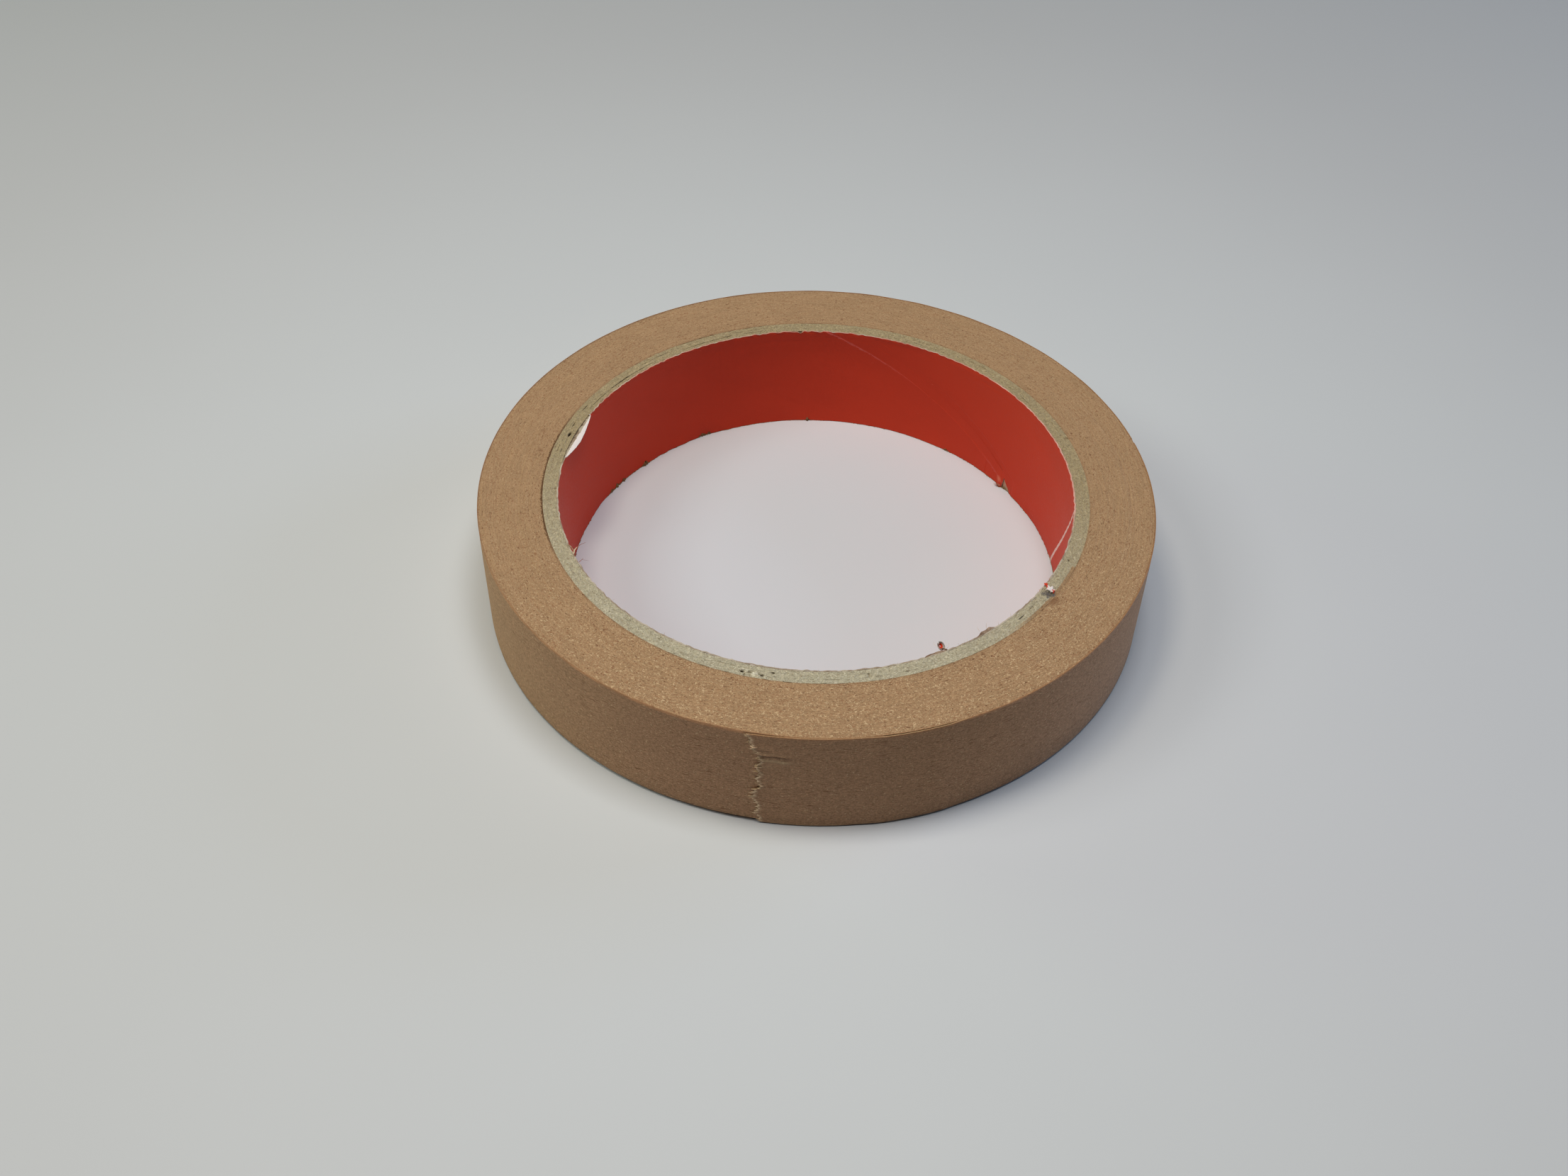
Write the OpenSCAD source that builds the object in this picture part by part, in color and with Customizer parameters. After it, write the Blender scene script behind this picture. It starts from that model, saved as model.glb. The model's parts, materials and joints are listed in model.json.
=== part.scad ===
// Roll of masking tape on a spiral-wound board core, lying flat.
// Origin: on the roll's axis, at its lower face. +Z runs up the axis.
// Lengths are in millimetres and angles in degrees, counted from +X towards +Y.

/* [Tape] */
// Width of the tape, and so the height of the roll lying flat
tape_w = 18; // [6:1:60]
// Outside diameter of the wound roll
roll_d = 100; // [83:1:200]
// Thickness of the tape, backing and adhesive together
tape_t = 0.135; // [0.08:0.005:0.3]
// Thickness of the adhesive coat alone
adhesive_t = 0.035; // [0.02:0.005:0.06]

/* [Core] */
// Bore of the core, the three inch size that dispenser hubs fit
core_bore_d = 76.2; // [25:0.1:92]
// Thickness of the paper that lines the bore
liner_t = 0.2; // [0.1:0.05:0.5]
// Thickness of each board ply
ply_t = 0.68; // [0.3:0.02:2]
// Glue line between two layers
glue_gap = 0.02; // [0.01:0.01:0.05]
// Angle at which the spiral seams climb, from level
seam_rise = 25.5; // [20:0.5:60]
// Gap between the two edges of a layer along its seam
seam_gap = 0.2; // [0.1:0.05:0.6]
// Angle round the roll where the liner's seam is at half height
liner_seam_at = 59; // [-180:1:180]
// Angle from the seam of one layer to the seam of the next
seam_stagger = 97; // [20:1:120]

/* [Loose end] */
// Angle round the roll of the longest tip of the torn edge
tear_at = -100; // [-180:1:180]
// Length of the loose end, from that tip to the line where it bends
tail_len = 29; // [10:1:60]
// Height that the loose end stands off the turn below it
tail_lift = 0.1; // [0.08:0.01:0.5]
// Deepest bite of the torn edge
tear_depth = 2; // [0.5:0.1:4]
// Slit left where the last full turn runs on into the turns inside it
turn_slit = 0.1; // [0.05:0.05:0.5]

/* [Hidden] */
$fn = 96;

// Radii of the core's layers, from the bore outwards
bore_r = core_bore_d / 2;
ply_pitch = ply_t + glue_gap;
ply_inner_r = bore_r + liner_t + glue_gap;
ply_middle_r = ply_inner_r + ply_pitch;
ply_outer_r = ply_middle_r + ply_pitch;
pack_bore_r = ply_outer_r + ply_pitch;

// The winding is a spiral of half turns. Each half turn has its own centre,
// half a tape thickness further on, so one full turn drops by one thickness.
roll_r = roll_d / 2;
half_turn = 180;
half_drop = tape_t / 2;
bend_at = tear_at + tail_len / roll_r * 180 / PI;
second_centre = -half_drop * [cos(bend_at), sin(bend_at)];

// The loose end lies outside the turn below it
tail_r_out = roll_r + tail_lift;
tail_r_glue = tail_r_out - (tape_t - adhesive_t);
tail_r_in = tail_r_out - tape_t;

// Seam slots are straight cuts, one for each short step up the roll
seam_step = 3;
seam_steps = ceil(tape_w / seam_step) + 1;
seam_overlap = 0.3;
cut_margin = 1;

// Torn edge, from the lower edge of the tape to its upper edge.
// Each point is a share of the tape's width and a share of tear_depth.
tear_profile = [
    [0.00, 0.92], [0.06, 0.78], [0.12, 0.45], [0.23, 0.64], [0.30, 0.27], [0.41, 0.37],
    [0.45, 0.92], [0.55, 0.46], [0.64, 0.65], [0.80, 0.96], [0.84, 0.70], [1.00, 0.00]
];

// Wall between two radii that runs through an angle, as tall as the tape is wide
module arc_wall(r_in, r_out, from, sweep) {
    rotate(from)
        rotate_extrude(angle = sweep)
            translate([r_in, 0])
                square([r_out - r_in, tape_w]);
}

// Full turn of the winding, less a slit at its inner end.
// Its outer face starts at r_out and drops by tape_t.
module spiral_wall(r_in, r_out, slit) {
    slit_turn = slit / r_out * 180 / PI;
    arc_wall(r_in, r_out, bend_at, half_turn);
    translate(second_centre)
        arc_wall(
            r_in - half_drop, r_out - half_drop, bend_at + half_turn, half_turn - slit_turn
        );
}

// Slot that climbs through a layer, where the edges of its strip meet
module seam_slot(r_mid, wall, seam_at) {
    step_len = seam_step / sin(seam_rise) + seam_overlap;
    step_turn = seam_step / tan(seam_rise) / r_mid * 180 / PI;
    for (i = [-seam_steps / 2 : seam_steps / 2])
        rotate(seam_at + i * step_turn)
            translate([r_mid, 0, tape_w / 2 + i * seam_step])
                rotate([seam_rise, 0, 0])
                    cube([wall + 2 * cut_margin, step_len, seam_gap], center = true);
}

// One layer of the core: a tube whose strip meets itself along a spiral seam
module core_layer(r_in, wall, layer) {
    difference() {
        arc_wall(r_in, r_in + wall, 0, 360);
        seam_slot(r_in + wall / 2, wall, liner_seam_at + layer * seam_stagger);
    }
}

// Everything past the torn edge, to be cut from the loose end
module past_tear() {
    edge = [for (p = tear_profile) [p[1] * tear_depth, p[0] * tape_w]];
    outline = concat(
        [[-cut_margin, -cut_margin], [edge[0].x, -cut_margin]],
        edge,
        [[edge[len(edge) - 1].x, tape_w + cut_margin], [-cut_margin, tape_w + cut_margin]]
    );
    rotate(tear_at)
        translate([roll_r - cut_margin, 0, 0])
            rotate([90, 0, 90])
                linear_extrude(2 * cut_margin + tail_lift)
                    polygon(outline);
}

// Layer of the loose end between two radii, with the torn edge at one end
module tail_layer(r_in, r_out) {
    difference() {
        arc_wall(r_in, r_out, tear_at, bend_at - tear_at);
        past_tear();
    }
}

module core_liner() {
    color("firebrick")
        core_layer(bore_r, liner_t, 0);
}

module core_ply_inner() {
    color("darkkhaki")
        core_layer(ply_inner_r, ply_t, 1);
}

module core_ply_middle() {
    color("tan")
        core_layer(ply_middle_r, ply_t, 2);
}

module core_ply_outer() {
    color("darkkhaki")
        core_layer(ply_outer_r, ply_t, 3);
}

// All the bonded turns inside the last one
module tape_pack() {
    color("burlywood")
        difference() {
            spiral_wall(pack_bore_r - cut_margin, roll_r - tape_t - glue_gap, 0);
            translate([0, 0, -cut_margin])
                cylinder(r = pack_bore_r, h = tape_w + 2 * cut_margin);
        }
}

// Last full turn, which runs on into the loose end
module outer_turn() {
    color("peru")
        spiral_wall(roll_r - tape_t, roll_r, turn_slit);
}

// Crepe paper backing of the loose end
module tape_tail() {
    color("sandybrown")
        tail_layer(tail_r_glue, tail_r_out);
}

// Adhesive coat on the inner side of the loose end
module tail_adhesive() {
    color("wheat")
        tail_layer(tail_r_in, tail_r_glue);
}

core_liner();
core_ply_inner();
core_ply_middle();
core_ply_outer();
tape_pack();
outer_turn();
tape_tail();
tail_adhesive();
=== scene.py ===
"""Roll of masking tape on a spiral-wound board core: the looks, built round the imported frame."""
import json
import math
from functools import cached_property

import bmesh
import bpy
import numpy as np
from mathutils import Matrix, Vector


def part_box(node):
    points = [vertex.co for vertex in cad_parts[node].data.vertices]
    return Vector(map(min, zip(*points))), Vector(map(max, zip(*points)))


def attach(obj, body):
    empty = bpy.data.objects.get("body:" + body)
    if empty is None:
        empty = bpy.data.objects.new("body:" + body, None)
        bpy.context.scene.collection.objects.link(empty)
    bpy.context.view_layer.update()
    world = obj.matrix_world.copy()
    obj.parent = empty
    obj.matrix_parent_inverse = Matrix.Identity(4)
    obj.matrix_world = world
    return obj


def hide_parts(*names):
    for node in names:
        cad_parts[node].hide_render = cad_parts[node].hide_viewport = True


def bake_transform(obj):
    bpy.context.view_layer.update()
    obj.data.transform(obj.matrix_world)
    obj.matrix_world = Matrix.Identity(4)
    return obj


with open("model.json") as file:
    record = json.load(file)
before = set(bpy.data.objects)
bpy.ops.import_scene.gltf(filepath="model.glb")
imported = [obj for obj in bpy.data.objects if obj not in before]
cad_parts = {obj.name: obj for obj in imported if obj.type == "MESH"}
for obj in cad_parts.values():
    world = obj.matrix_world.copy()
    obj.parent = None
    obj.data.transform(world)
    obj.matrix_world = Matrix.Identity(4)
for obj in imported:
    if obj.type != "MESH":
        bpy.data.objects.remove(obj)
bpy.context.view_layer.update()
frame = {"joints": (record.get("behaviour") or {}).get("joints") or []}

MM = 0.001
TAU = 2 * math.pi

# ---- sizes, in mm and degrees


def half_width(node):
    """Outer radius of a round node."""
    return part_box(node)[1].x / MM


BORE_R = 38.1
LINER_R = half_width("core_liner")
PLY_R = [half_width(f"core_ply_{where}") for where in ("inner", "middle", "outer")]
CORE_R = PLY_R[-1]
ROLL_R = half_width("outer_turn")
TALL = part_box("outer_turn")[1].z / MM
TAPE_T = 0.135
ADHESIVE_T = 0.035
PIVOT = Vector(frame["joints"][0]["pos_m"])
BEND_AT = math.degrees(math.atan2(PIVOT.y, PIVOT.x))
TEAR_AT = -100.4
TAIL_LEN = math.radians(BEND_AT - TEAR_AT) * ROLL_R
# The winding below the last turn: its outer and inner radius, its turns, steps in each turn
WOUND_R, WOUND_BORE = ROLL_R - TAPE_T - 0.01, CORE_R + 0.002
TURNS = int((WOUND_R - WOUND_BORE) / TAPE_T) - 1
STEPS = 360
TURN_ROWS = 30  # rows of points up the last turn's outer face
# How far the tape's edges stand in at the lower end and out at the upper end
LOW_RIM, TOP_RIM = 0.34, 0.02
# Torn edge, from the lower edge of the tape up: height, distance from the longest tip
TEAR_LINE = [
    (0.0, 1.9), (1.2, 1.7), (1.5, 1.15), (2.2, 1.55), (4.1, 1.4), (4.8, 0.75), (6.0, 0.9), (6.5, 1.0),
    (7.1, 1.3), (7.6, 2.0), (8.3, 1.6), (9.2, 1.1), (10.1, 2.0), (10.9, 1.45), (12.1, 1.6), (13.0, 2.05),
    (13.6, 1.95), (14.4, 1.5), (15.2, 1.1), (15.6, 1.0), (16.5, 0.65), (17.0, 0.4), (18.0, 0.1),
]
# Teeth of the torn edge: how many, the lowest place and the widest half width of each kind
TEETH = [(110, 0, 0.20), (28, 13.4, 0.15)]
FIBRES = 210
# Creases that the pull left, from the torn edge: height, length, depth, reach below, fall
CREASES = [(15.2, 3.2, 0.07, 0.40, 0.05), (14.2, 6.0, 0.23, 0.80, 0.35), (13.0, 3.6, 0.06, 0.5, 0.2)]
# Painted shadows of the gaps under the torn edge, on the last turn: angle, height, reach
TORN_GAP_SHADOWS = [
    (-98.15, 9.6, 0.32), (-98.45, 7.4, 0.34), (-99.0, 6.1, 0.3), (-99.15, 5.1, 0.26), (-97.95, 12.9, 0.3),
]
# Smudges on the tape's top: angle, radius, reach, strength
TAPE_SMUDGES = [
    (-36.3, 40.7, 1.3, 0.55), (171.7, 42.2, 0.5, 0.55), (165.5, 43.2, 0.9, 0.2), (-89.2, 48.9, 0.18, 0.85),
]
SEAM_RISE = 25.5
SEAM_AT = 59.0
SEAM_STAGGER = 97.0
LINER_SLOPE = math.degrees(1 / math.tan(math.radians(SEAM_RISE)) / BORE_R)  # degrees per mm up
# How much narrower the bore is at the lower end, where the knife came through, and how far up
BORE_TAPER, TAPER_TALL = 0.80, 15.0
UPRIGHT = 3.0  # height below which the liner's columns run straight down
# Part of the liner's upper edge that is folded in: middle and half length in degrees, and
# how many mm of it are folded over at some angles
FLAP_AT, FLAP_HALF = 164.8, 8.9
FLAP_WIDE = [
    (157.2, 0), (157.6, 0.20), (160, 0.42), (163.5, 0.68),
    (167, 0.80), (169.5, 0.62), (172, 0.25), (173.8, 0),
]
# Notch where the liner's seam meets its lower edge: its angle and height, where the board in it
# is painted pink as light bounced off the red liner (angle, radius, reach, height), and where a painted
# highlight lies beside it on the bulging print (x, y, z)
NOTCH_AT, NOTCH_TALL = 33.0, 2.0
NOTCH_BOARD = (32.3, BORE_R, 3.0, 1.2)
NOTCH_HIGHLIGHT = (30.7, 21.4, 1.2)
# Pale printed stripe: angle and height of its middle, half width, half width with its edge
STRIPE = (-0.5, 7.5, 0.23, 0.30)
# Nicks in the liner's lower edge: angle, height, half width in degrees
KNIFE_NICKS = [
    (53.0, 0.30, 0.6), (91.6, 0.50, 0.4), (118.4, 0.35, 0.5), (120.3, 0.55, 0.8), (138.8, 0.5, 0.8),
    (147.0, 0.4, 0.6), (149.6, 0.5, 0.8), (152.0, 0.4, 0.7),
]
# Hollows in the core's top, and bumps where the depth is below 0:
# angle, radius, half length along, half width across, depth
CORE_MARKS = [
    (165.0, 39.07, 0.50, 0.17, 0.9), (155.2, 39.70, 0.75, 0.05, 0.3), (161.5, 39.40, 0.6, 0.05, 0.25),
    (170.7, 39.12, 0.4, 0.05, 0.2), (169.9, 40.16, 0.13, 0.10, 0.3), (142.0, 39.05, 0.9, 0.05, 0.25),
    (128.5, 39.7, 0.8, 0.05, 0.25), (112.0, 39.1, 0.9, 0.05, 0.2), (-104.3, 39.63, 0.22, 0.17, 0.8),
    (-102.8, 39.55, 0.26, 0.10, 0.35), (-101.0, 39.63, 0.20, 0.11, 0.35), (-100.3, 39.78, 0.18, 0.14, 0.7),
    (-98.3, 39.11, 0.24, 0.13, 0.5), (-104.4, 39.28, 0.25, 0.12, -0.16), (-102.8, 39.36, 0.75, 0.06, -0.12),
    (-101.7, 39.85, 0.65, 0.12, -0.14), (-103.7, 40.15, 0.07, 0.45, 0.2), (-35.1, 39.5, 0.45, 0.60, 0.22),
    (-23.8, 39.14, 0.12, 0.12, 0.3), (-39.1, 40.1, 0.12, 0.10, 0.3), (-40.8, 38.96, 0.12, 0.10, 0.3),
    (-44.2, 39.2, 0.60, 0.06, 0.3),
]
# Pale lifted fibres on the core's top: angle, radius, reach
FELT_LIFTS = [(-104.4, 39.36, 0.42), (-103.4, 39.34, 0.30), (-101.9, 39.85, 0.50), (-101.4, 39.72, 0.36)]
# Soot on the core beside the flake: angle, radius, reach
SOOT = [(-35.0, 39.3, 0.85), (-35.7, 38.9, 0.6), (-34.9, 40.0, 0.6), (-36.0, 39.7, 0.4)]
# Where the winding bulges over the core's outer edge: angles where it starts, is full and ends, mm
CORE_OVERLAP = (-25.0, -25.5, -40.0, -52.0, 0.45)
SCRAP_TALL = 0.32  # height above the cut end where a scrap starts to lean in
CURL_ROWS = 8  # rows of points into the curled scrap
# Slivers of the liner's back on the bore's upper edge: name, start, end, height, seed
SLIVERS = [("long", -55.4, -50.4, 0.40, 72), ("short", -67.8, -62.2, 0.24, 76)]
# Hairs on the bore's upper edge: thickness, colour and path of (angle, mm in from the edge, mm up)
HAIRS = [
    (0.09, 1, [(-154.5, 0.1, 0), (-155.0, 0.5, 0.3), (-155.7, 1.3, 0.35), (-156.4, 2.3, 0.1)]),
    (0.14, 0, [(-154.2, 0, 0), (-154.7, 0.3, 0.3), (-155.3, 0.5, 0.6)]),
    (0.12, 0, [(-154.0, -0.1, 0), (-154.4, 0.2, 0.2), (-155.9, 0.1, 0.25)]),
    (0.06, 2, [(-153.6, 0, 0), (-153.5, 0.3, 0.15), (-153.2, 0.2, 0.45)]),
    (0.07, 0, [(-157.2, -0.1, 0), (-156.2, 0.1, 0.12), (-155.0, 0.05, 0.1)]),
    (0.05, 1, [(-151.3, 0.1, 0), (-151.3, 0.5, 0.2), (-151.8, 0.9, 0.15)]),
    (0.02, 1, [(-151.4, 0.5, 0.2), (-150.6, 1.0, 0.3), (-150.3, 1.4, 0.15)]),
    (0.025, 0, [(-63.0, 0.3, 0.1), (-62.3, 0.5, 0.5), (-61.9, 0.8, 0.9)]),
    (0.025, 0, [(-62.9, 0.1, 0), (-62.1, 0.2, 0.3), (-61.6, 0.5, 0.55)]),
    (0.022, 0, [(-64.3, 0.4, 0.7), (-64.6, 0.7, 1.0), (-64.3, 1.0, 1.2)]),
    (0.022, 0, [(-54.2, 0.3, 0.4), (-54.0, 0.6, 0.7), (-53.7, 0.7, 0.95)]),
    (0.022, 0, [(-52.4, 0.3, 0.4), (-51.9, 0.5, 0.6), (-51.4, 0.7, 0.7)]),
    (0.16, 2, [(-62.7, -0.1, -0.05), (-62.9, 0.4, -0.15), (-63.2, 0.9, -0.4)]),
]
# Hairs that hang from the notch to the floor: degrees between their feet, mm that they reach in
NOTCH_HAIRS = [(0.0, 0.30), (0.35, 0.45), (0.6, 0.55), (0.9, 0.40), (1.2, 0.30)]
# Short hairs at chosen angles, with their lengths, before those at random ones
SHORT_HAIRS = [(-58.6, 0.6), (-57.8, 0.45), (-49.5, 0.5), (-45.8, 0.7)]
# Lamps: name, degrees round, degrees up, distance and size in m, power in W, colour
LAMPS = [
    ("key_lamp", 194.3, 77, 0.5, 0.12, 0.79, (1.0, 0.895, 0.75)),
    ("top_lamp", -26, 84, 0.5, 0.15, 0.945, (1.0, 1.0, 1.0)),
    ("left_lamp", 161, 10, 1.0, 0.35, 2.5, (0.73, 1.0, 0.66)),
    ("front_lamp", -168, 49, 0.8, 0.31, 1.5, (1.0, 0.98, 0.96)),
    ("right_fill", 22.5, 13.3, 1.0, 0.46, 4.09, (0.475, 0.66, 1.0)),
]
AMBIENT = 0.04
FLOOR_HALF = 4.0  # half the floor's side, in m
# Distances from the axis over which the floor runs out into the backdrop, beyond the main view
BACKDROP_FROM, BACKDROP_FULL = 285, 450
CAMERA_TILT, CAMERA_ROLL, CAMERA_LENS = 44.33, -1.18, 37.63
CAMERA_AT = (-4.46, -185.24, 176.81)



# ---- numbers


def ring_noise(angle, seed, low, high, size):
    """Seamless noise round the ring, made of waves that fit low to high times into a turn."""
    rng = np.random.default_rng(seed)
    counts = np.arange(low, high + 1)
    part = rng.normal(size=counts.size)
    phase = rng.uniform(0, TAU, counts.size)
    wave = np.cos(np.multiply.outer(np.radians(angle), counts) + phase) @ part
    return size * wave / math.sqrt((part**2).sum() / 2)


def grid_noise(shape, blur, seed):
    """Noise with a spread of 1 on a grid that wraps both ways, blurred by some cells each way."""
    grid = np.fft.fft2(np.random.default_rng(seed).normal(size=shape))
    for axis, cells in enumerate(blur):
        gain = np.exp(-2 * (np.pi * np.fft.fftfreq(shape[axis]) * cells) ** 2)
        grid = grid * np.expand_dims(gain, 1 - axis)
    noise = np.fft.ifft2(grid).real
    return noise / noise.std()


def line_noise(count, blur, seed):
    """Noise with a spread of 1 along a line of points, blurred by some points."""
    return grid_noise((count, 1), (blur, 0), seed)[:, 0]


def hill(x, middle, width):
    """From 1 in the middle down to 0 on both sides."""
    return np.exp(-(((x - middle) / width) ** 2))


def step(x, low, high):
    """From 0 at low to 1 at high, smoothly."""
    t = np.clip((x - low) / (high - low), 0, 1)
    return t * t * (3 - 2 * t)


def gap(angle, at):
    """Signed angle from at, between -180 and 180."""
    return (angle - at + 180) % 360 - 180


def swelling(angle, at, width):
    """From 1 at one angle round the axis down to 0 on both sides."""
    return hill(gap(angle, at), 0, width)


def place(angle, radius, height):
    """Points at these angles, radii and heights."""
    turn = np.radians(angle)
    return np.stack(
        np.broadcast_arrays(radius * np.cos(turn), radius * np.sin(turn), height), axis=-1
    )


# ---- meshes


def quads(index, wrap=(False, False)):
    """Four-sided faces of a grid of vertex numbers, closed along the axes that wrap."""
    for axis, closed in enumerate(wrap):
        if closed:
            index = np.concatenate([index, index.take([0], axis)], axis)
    corners = index[:-1, :-1], index[1:, :-1], index[1:, 1:], index[:-1, 1:]
    return np.stack(corners, -1).reshape(-1, 4)


def numbered(grid):
    """Vertex numbers of a grid of points."""
    rows, cols = grid.shape[:2]
    return np.arange(rows * cols).reshape(rows, cols)


def add(name, data):
    """New object in the scene with this mesh, lamp or camera."""
    thing = bpy.data.objects.new(name, data)
    bpy.context.scene.collection.objects.link(thing)
    return thing


def build(name, points, faces, materials, slots=None, maps=None, crease=50):
    """Makes a piece from points in mm. slots gives each face's material, maps each point's
    two numbers for each named map."""
    mesh = bpy.data.meshes.new(name)
    mesh.from_pydata((np.asarray(points).reshape(-1, 3) * MM).tolist(), [], [list(f) for f in faces])
    for material in materials:
        mesh.materials.append(material)
    if slots is not None:
        mesh.polygons.foreach_set("material_index", np.asarray(slots, np.int32))
    corner = np.empty(len(mesh.loops), np.int32)
    mesh.loops.foreach_get("vertex_index", corner)
    for label, values in (maps or {}).items():
        layer = mesh.uv_layers.new(name=label)
        layer.uv.foreach_set("vector", np.asarray(values, np.float32).reshape(-1, 2)[corner].ravel())
    edit = bmesh.new()
    edit.from_mesh(mesh)
    bmesh.ops.recalc_face_normals(edit, faces=edit.faces)
    edit.to_mesh(mesh)
    edit.free()
    mesh.shade_smooth()
    mesh.set_sharp_from_angle(angle=math.radians(crease))
    return add(name, mesh)


def tube(name, section, materials, slots=None):
    """Piece made of a closed ring of closed cross-sections."""
    return build(name, section, quads(numbered(section), (True, True)), materials, slots)


def sheet_faces(grid):
    """Faces of a closed sheet whose two sides are grids like this one, one after the other:
    the first side, the second, and the rim, which starts with the first row's edge."""
    a = numbered(grid)
    b = a + a.size
    border = lambda g: np.concatenate([g[0, :-1], g[:-1, -1], g[-1, :0:-1], g[:0:-1, 0]])
    rim = quads(np.stack([border(a), border(b)], 1), (True, False))
    return [quads(a), quads(b), rim]


def sheet(grid, thick):
    """Points and faces of a closed sheet: one side on the grid, the other a thickness below."""
    along, across = np.gradient(grid, axis=(0, 1))
    normal = np.cross(along, across)
    normal /= np.linalg.norm(normal, axis=-1, keepdims=True)
    return np.concatenate([grid, grid - normal * thick]).reshape(-1, 3), sheet_faces(grid)


def smooth_line(knots):
    """Smooth line through some points, with four steps between each two."""
    knots = np.concatenate([[2 * knots[0] - knots[1]], knots, [2 * knots[-1] - knots[-2]]])
    line = []
    for k in range(len(knots) - 3):
        a, b, c, d = knots[k : k + 4]
        for t in np.linspace(0, 1, 5)[: 5 if k == len(knots) - 4 else 4]:
            bend = (2 * a - 5 * b + 4 * c - d) * t**2 + (3 * b - a - 3 * c + d) * t**3
            line.append(b + 0.5 * ((c - a) * t + bend))
    return np.array(line)


def strand(path, thick, sides=5):
    """Points and faces of a closed tapered hair through places of (angle, radius, height)."""
    line = smooth_line(place(*np.array(path, float).T))
    ahead = np.gradient(line, axis=0)
    ahead /= np.linalg.norm(ahead, axis=1, keepdims=True)
    side = np.cross(ahead, (0.31, 0.22, 0.92))
    side /= np.linalg.norm(side, axis=1, keepdims=True)
    over = np.cross(ahead, side)
    width = thick * (1 - 0.8 * np.linspace(0, 1, len(line)))[:, None, None]
    turn = np.arange(sides) * TAU / sides
    ring = np.cos(turn)[None, :, None] * side[:, None] + np.sin(turn)[None, :, None] * over[:, None]
    points = line[:, None] + ring * width
    index = numbered(points)
    caps = [index[0].tolist(), index[-1][::-1].tolist()]
    return points.reshape(-1, 3), quads(index, (False, True)).tolist() + caps


def gather(parts):
    """Points, faces and face slots of several (points, faces, slot) as one."""
    points, faces, slots, base = [], [], [], 0
    for some, theirs, slot in parts:
        points.append(some)
        faces += [[base + v for v in f] for f in theirs]
        slots += list(slot) if np.ndim(slot) else [slot] * len(theirs)
        base += len(some)
    return np.concatenate(points), faces, slots


def settle(piece, body, slot, *nodes):
    """The piece rides on a body and stands for CAD nodes; its slot is not used."""
    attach(piece, body)
    if nodes:
        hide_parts(*nodes)


# ---- materials


def srgb(red, green, blue):
    """A colour given as 0 to 255, as the linear values that shaders take."""
    part = np.array([red, green, blue]) / 255
    linear = np.where(part <= 0.04045, part / 12.92, ((part + 0.055) / 1.055) ** 2.4)
    return (*linear.tolist(), 1.0)


PAPER = srgb(161, 130, 97)
FACE = srgb(174, 136, 105)
FACE_RIM_HIGHLIGHT = srgb(200, 142, 98)
PAPER_LIGHT = srgb(220, 194, 154)
PAPER_DARK = srgb(112, 74, 50)
PAPER_RUST = srgb(132, 88, 60)
PAPER_RIM = srgb(158, 110, 74)
PAPER_GAP_SHADE = srgb(86, 60, 38)
CREASE_SHADE = srgb(50, 32, 24)
TORN_GAP_SHADE = srgb(48, 32, 24)
FIBRE_PALE = srgb(240, 212, 176)
FIBRE_TAN = srgb(184, 158, 122)
GLUE, GLUE_DARK = srgb(206, 184, 140), srgb(190, 162, 116)
BOARD = srgb(180, 171, 146)
BOARD_BACK_SHADE = (0.80, 0.70, 0.56, 1)
BOARD_LIGHT = srgb(240, 234, 212)
BOARD_RUST = srgb(126, 98, 66)
BOARD_SHADE = srgb(92, 76, 54)
BOARD_DEEP_SHADE = srgb(46, 36, 28)
BOARD_RED_BOUNCE = srgb(214, 168, 142)
BOARD_DUST = srgb(142, 116, 84)
SOOT_GREY = srgb(100, 96, 95)
RED = srgb(200, 60, 34)
SEAM_PINK = srgb(212, 112, 106)
HIGHLIGHT_PINK = srgb(226, 140, 108)
STRIPE_PINK = srgb(236, 200, 196)
RUB_PINK = srgb(230, 120, 100)
WHITE, WHITE_SOILED = srgb(226, 216, 214), srgb(196, 176, 160)
EDGE_PALE, EDGE_TAN = srgb(186, 174, 154), srgb(150, 132, 112)
EDGE_PINK, EDGE_ROSE, EDGE_SHADE = srgb(218, 168, 154), srgb(206, 146, 128), srgb(112, 86, 64)
FLOOR_INSIDE_LIT, FLOOR_NEAR, FLOOR_FAR_SHADED = srgb(207, 212, 217), srgb(200, 203, 205), srgb(193, 194, 195)
BACKDROP = srgb(198, 200, 202)
AIR = srgb(206, 214, 226)
# Pale and dark colour of each kind of scrap
SCRAPS = {
    "pale": (srgb(216, 198, 168), srgb(156, 128, 98)),
    "tan": (srgb(182, 156, 132), srgb(132, 104, 84)),
    "grey": (srgb(178, 168, 158), srgb(112, 96, 86)),
    "rusty": (srgb(178, 120, 96), srgb(120, 60, 50)),
    "dark": (srgb(126, 96, 70), srgb(84, 58, 44)),
}


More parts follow.
